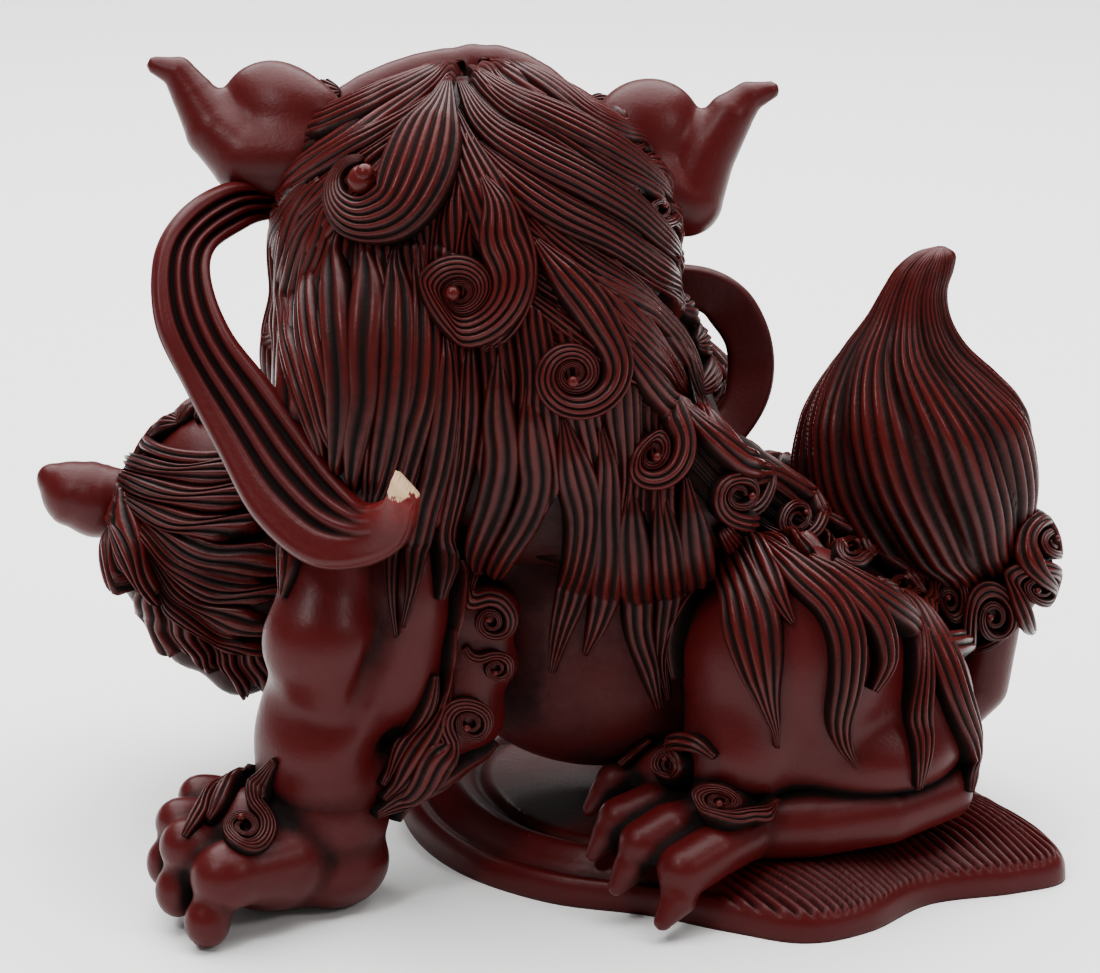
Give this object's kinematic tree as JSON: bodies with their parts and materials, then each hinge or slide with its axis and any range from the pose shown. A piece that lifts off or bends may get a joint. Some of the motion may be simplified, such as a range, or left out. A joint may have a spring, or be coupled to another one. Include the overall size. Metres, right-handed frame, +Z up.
{
  "type": "foo dog statue",
  "caption": "Cast resin guardian lioness seated on a low plinth, her head turned aside, with a cub under her right forepaw and a tall flame-shaped tail; a shelf ornament.",
  "frame": {"origin": "centre of the figure's bounding box in X and Y, on the plane of the plinth's underside", "axes": "+Z up; the body faces -X and the tail is at +X; the lion's and the cub's heads are turned to face +Y; the left flank is at -Y"},
  "size_m": [0.2905, 0.1695, 0.2256],
  "materials": {
    "red_resin": "satin, cold-painted dark cinnabar red, dark wash in the grooves",
    "washed_resin": "satin, dark red ridges over a near-black wash",
    "tongue_resin": "satin red",
    "teeth_resin": "satin red, worn at the tips",
    "pin_steel": "plain mild steel"
  },
  "bodies": {
    "root": {"base_plate": "red_resin", "cub_body": "red_resin", "cub_ear_left": "red_resin", "cub_ear_right": "red_resin", "cub_head": "red_resin", "cub_mane": "washed_resin", "cub_neck_dowel": "pin_steel", "ear_dowel_left": "pin_steel", "ear_dowel_right": "pin_steel", "ear_left": "red_resin", "ear_right": "red_resin", "eye_left": "washed_resin", "eye_right": "washed_resin", "front_leg_left": "red_resin", "front_leg_right": "red_resin", "front_paw_left": "red_resin", "front_paw_right": "red_resin", "haunch_left": "red_resin", "haunch_right": "red_resin", "head": "red_resin", "hind_foot_left": "red_resin", "hind_foot_right": "red_resin", "hip_mane_left": "washed_resin", "hip_mane_right": "washed_resin", "lower_jaw": "red_resin", "mane_crown": "washed_resin", "mane_left": "washed_resin", "mane_right": "washed_resin", "mane_spine": "washed_resin", "nose": "red_resin", "ribbon_left": "red_resin", "ribbon_right": "red_resin", "tail_collar": "washed_resin", "tail_dowel": "pin_steel", "tail_stalk": "red_resin", "tail_tuft": "washed_resin", "teeth_lower": "teeth_resin", "teeth_upper": "teeth_resin", "tongue": "tongue_resin", "torso": "red_resin"}
  },
  "joints": []
}
